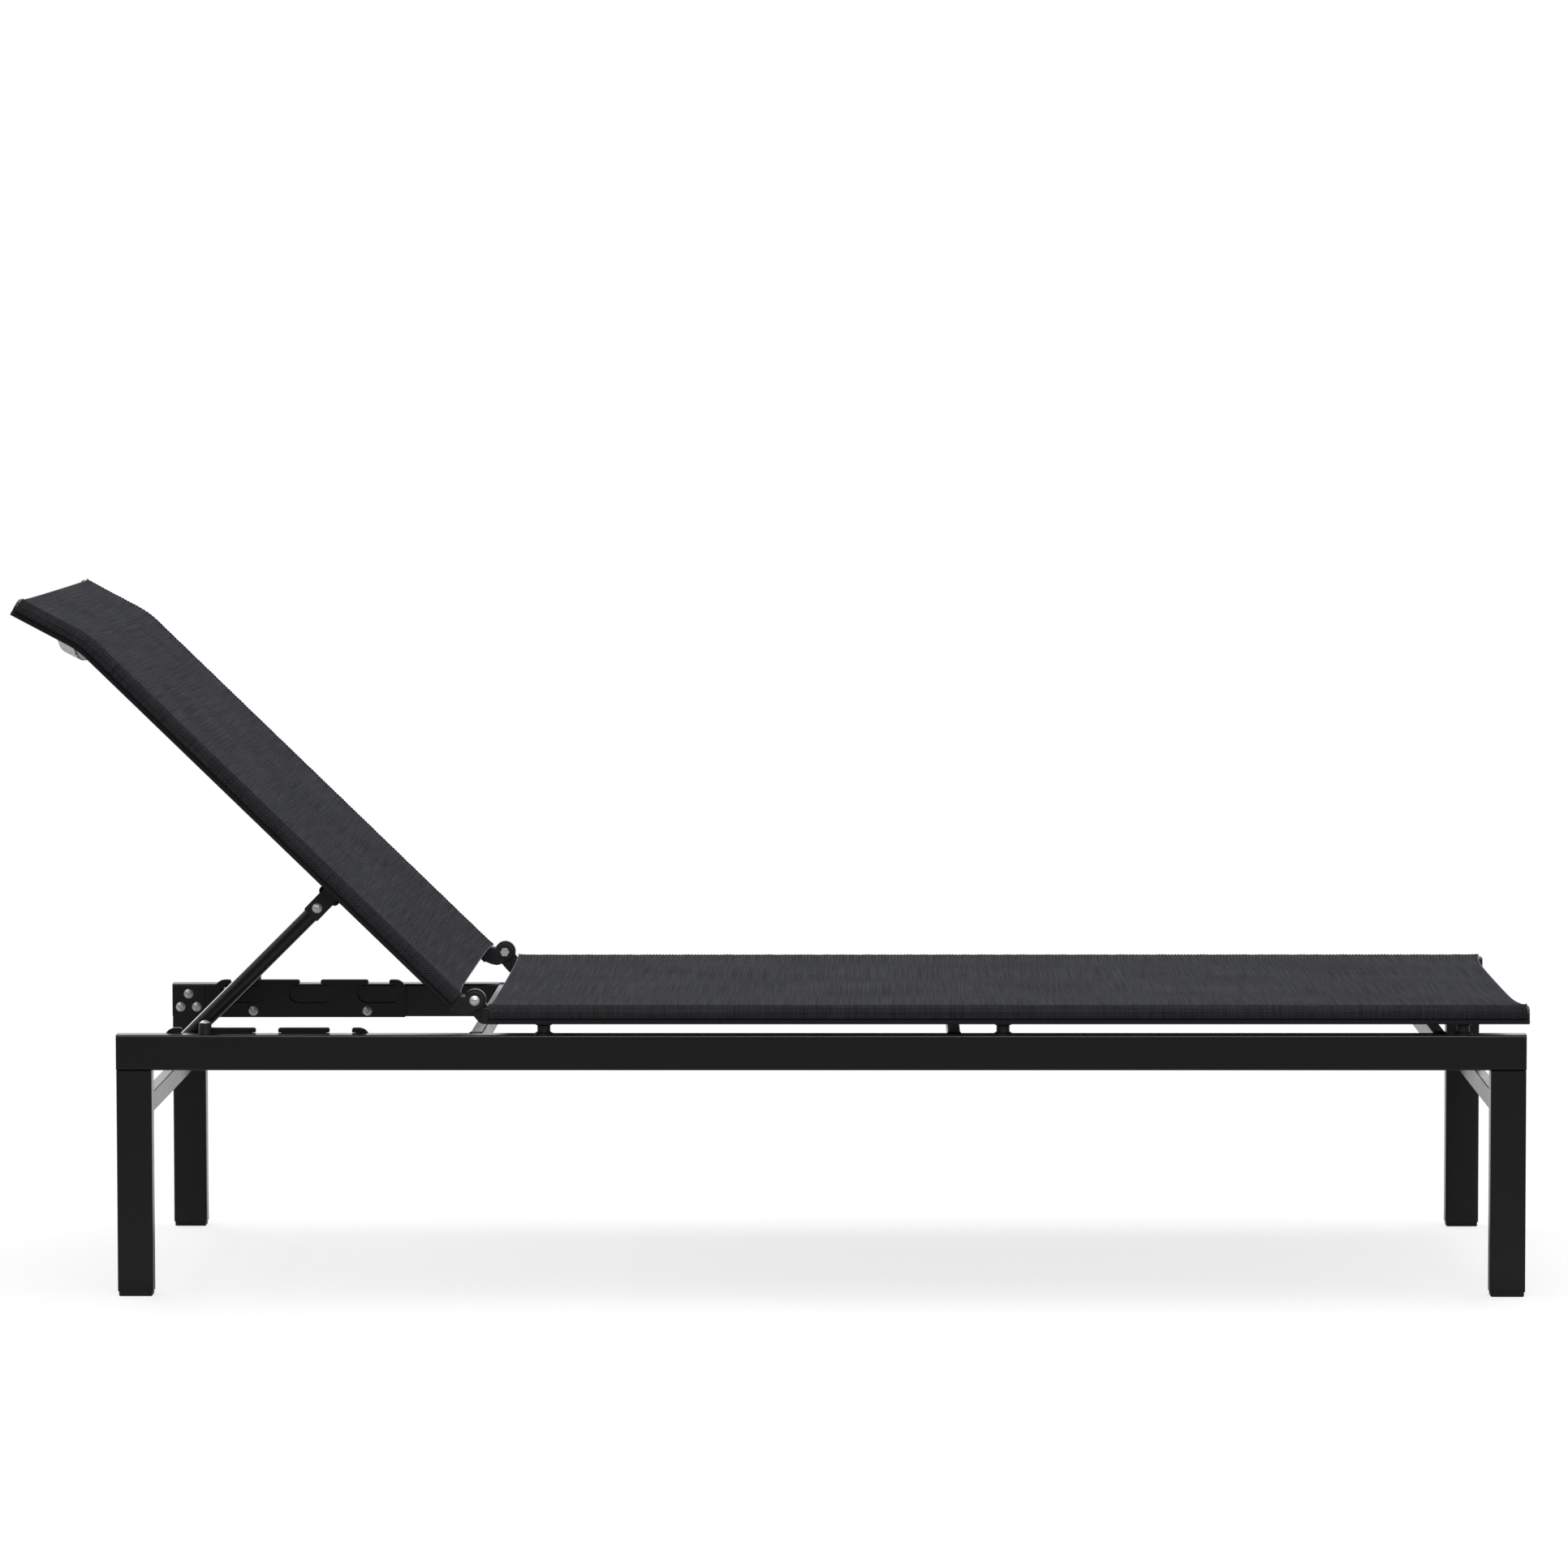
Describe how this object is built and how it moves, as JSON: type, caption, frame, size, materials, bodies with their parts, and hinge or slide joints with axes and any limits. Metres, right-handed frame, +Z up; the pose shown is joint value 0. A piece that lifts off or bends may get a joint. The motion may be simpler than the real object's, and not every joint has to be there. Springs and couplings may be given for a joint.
{
  "type": "reclining sun lounger",
  "caption": "Low aluminium sun lounger with two textile slings, a hinged backrest with a curved head end, and a prop bail that hooks into slotted racks.",
  "frame": {"origin": "on the ground under the middle of the overall box, with the backrest at its lowest propped position", "axes": "+X towards the foot end, +Y towards the left of a person who lies on it face up, +Z up"},
  "size_m": [1.828, 0.678, 0.8442],
  "materials": {
    "powder_coat": "black semi-gloss powder coat on aluminium tube",
    "plate_black": "black powder coat on aluminium plate",
    "cast_black": "black powder coat on cast aluminium",
    "black_plastic": "moulded black plastic, satin",
    "fastener_steel": "bright stainless steel",
    "sling_fabric": "woven coated textile, charcoal",
    "keder_cord": "round plastic cord"
  },
  "bodies": {
    "frame": {"bracket_screws": "fastener_steel", "bumper_left": "black_plastic", "bumper_right": "black_plastic", "bumper_screws": "fastener_steel", "corner_bracket_foot_left": "plate_black", "corner_bracket_foot_right": "plate_black", "corner_bracket_head_left": "plate_black", "corner_bracket_head_right": "plate_black", "crossbar_foot": "powder_coat", "crossbar_hinge": "powder_coat", "crossbar_middle": "powder_coat", "glide_foot_left": "black_plastic", "glide_foot_right": "black_plastic", "glide_head_left": "black_plastic", "glide_head_right": "black_plastic", "hinge_bolts": "fastener_steel", "hinge_nuts": "fastener_steel", "leg_foot_left": "powder_coat", "leg_foot_right": "powder_coat", "leg_head_left": "powder_coat", "leg_head_right": "powder_coat", "rack_left": "plate_black", "rack_right": "plate_black", "rack_screws": "fastener_steel", "rail_end_caps": "black_plastic", "seat_end_cap_left": "black_plastic", "seat_end_cap_right": "black_plastic", "seat_extrusion_left": "powder_coat", "seat_extrusion_right": "powder_coat", "seat_keder_left": "keder_cord", "seat_keder_right": "keder_cord", "seat_knuckle_left": "cast_black", "seat_knuckle_right": "cast_black", "seat_sling": "sling_fabric", "seat_spacers": "black_plastic", "side_rail_left": "powder_coat", "side_rail_right": "powder_coat", "spacer_bolts": "fastener_steel", "stretcher_foot": "powder_coat", "stretcher_head": "powder_coat"},
    "backrest": {"backrest_end_cap_left": "black_plastic", "backrest_end_cap_right": "black_plastic", "backrest_extrusion_left": "powder_coat", "backrest_extrusion_right": "powder_coat", "backrest_keder_left": "keder_cord", "backrest_keder_right": "keder_cord", "backrest_knuckle_left": "cast_black", "backrest_knuckle_right": "cast_black", "backrest_sling": "sling_fabric", "headrest_bar": "powder_coat", "pivot_bolts": "fastener_steel", "pivot_nuts": "fastener_steel", "prop_bracket_left": "plate_black", "prop_bracket_right": "plate_black", "prop_crossbar": "powder_coat"},
    "prop": {"prop_arm_left": "powder_coat", "prop_arm_right": "powder_coat", "prop_rod": "powder_coat", "prop_rod_plugs": "black_plastic"}
  },
  "joints": [
    {"name": "backrest_recline", "type": "hinge", "parent": "frame", "child": "backrest", "pos_m": [-0.35736, 0, 0.3593], "axis": [0, 1, 0], "range_deg": [-43.5, 22.4]},
    {"name": "prop_swing", "type": "hinge", "parent": "backrest", "child": "prop", "pos_m": [-0.54982, 0, 0.46835], "axis": [0, 1, 0], "range_deg": [-47.5, 92]}
  ],
  "couplings": [
    {"joint": "prop_swing", "follows": "backrest_recline", "ratio": -2.1}
  ]
}
